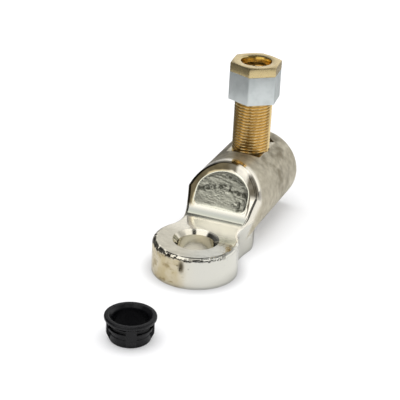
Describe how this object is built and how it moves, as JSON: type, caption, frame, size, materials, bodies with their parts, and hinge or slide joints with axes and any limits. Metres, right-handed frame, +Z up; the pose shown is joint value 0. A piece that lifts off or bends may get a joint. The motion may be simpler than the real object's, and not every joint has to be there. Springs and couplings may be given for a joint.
{
  "type": "cable lug",
  "caption": "Bolted cable lug: flat palm with a stud hole, round barrel, hollow hexagon-head clamping bolt and a loose centring ring for the cable mouth.",
  "frame": {"origin": "centre of the stud hole at the palm's contact face", "axes": "+Z up along the stud hole and the clamping bolt, +X along the barrel towards its mouth"},
  "size_m": [0.1637, 0.039, 0.0787],
  "materials": {
    "plated_body": "tin plated, satin on the barrel, polished on the palm, rough as forged on the sloping end face",
    "bolt_brass": "turned, fine thread",
    "nut_metal": "matt zinc plated",
    "plate_brass": "turned",
    "ring_plastic": "moulded, slightly glossy"
  },
  "bodies": {
    "lug": {"lug_body": "plated_body", "centring_ring": "ring_plastic"},
    "plate": {"pressure_plate": "plate_brass"},
    "bolt": {"shear_bolt": "bolt_brass", "drive_nut": "nut_metal"}
  },
  "joints": [
    {"name": "plate_travel", "type": "slide", "parent": "lug", "child": "plate", "axis": [0, 0, -1], "range_m": [-0.0015, 0.015]},
    {"name": "bolt_turn", "type": "hinge", "parent": "plate", "child": "bolt", "pos_m": [0.066, 0, 0.0787], "axis": [0, 0, -1], "range_deg": [-360, 3600]}
  ],
  "couplings": [
    {"joint": "plate_travel", "follows": "bolt_turn", "m_per_rad": 0.00023873}
  ]
}
